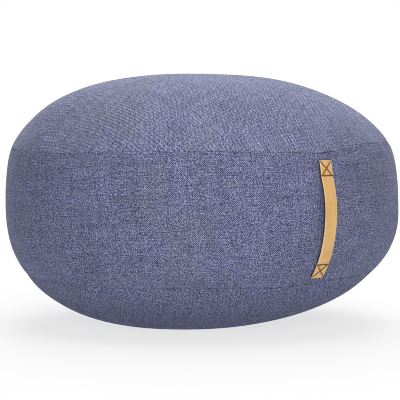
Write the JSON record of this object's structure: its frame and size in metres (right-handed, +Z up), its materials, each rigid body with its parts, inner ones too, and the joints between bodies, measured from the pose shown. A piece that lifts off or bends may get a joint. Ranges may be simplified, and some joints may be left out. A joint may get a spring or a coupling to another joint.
{
  "type": "round floor pouf",
  "caption": "Round filled floor pouf of herringbone wool cloth: a domed top panel, a side band and a domed bottom panel sewn together, with a leather carrying strap down the band.",
  "frame": {"origin": "on the floor under the middle of the widest level, inside the flat face that the pouf rests on", "axes": "+Z up, -Y towards the front, where the strap runs down the band, +X to the right of the strap seen from the front"},
  "size_m": [0.55, 0.559, 0.3478],
  "materials": {
    "wool_cloth": "woven wool, herringbone twill in navy and pale grey blue",
    "strap_leather": "natural vegetable tanned leather, cut edges"
  },
  "bodies": {
    "root": {"top_panel": "wool_cloth", "side_band": "wool_cloth", "bottom_panel": "wool_cloth", "carry_strap": "strap_leather"}
  },
  "joints": []
}
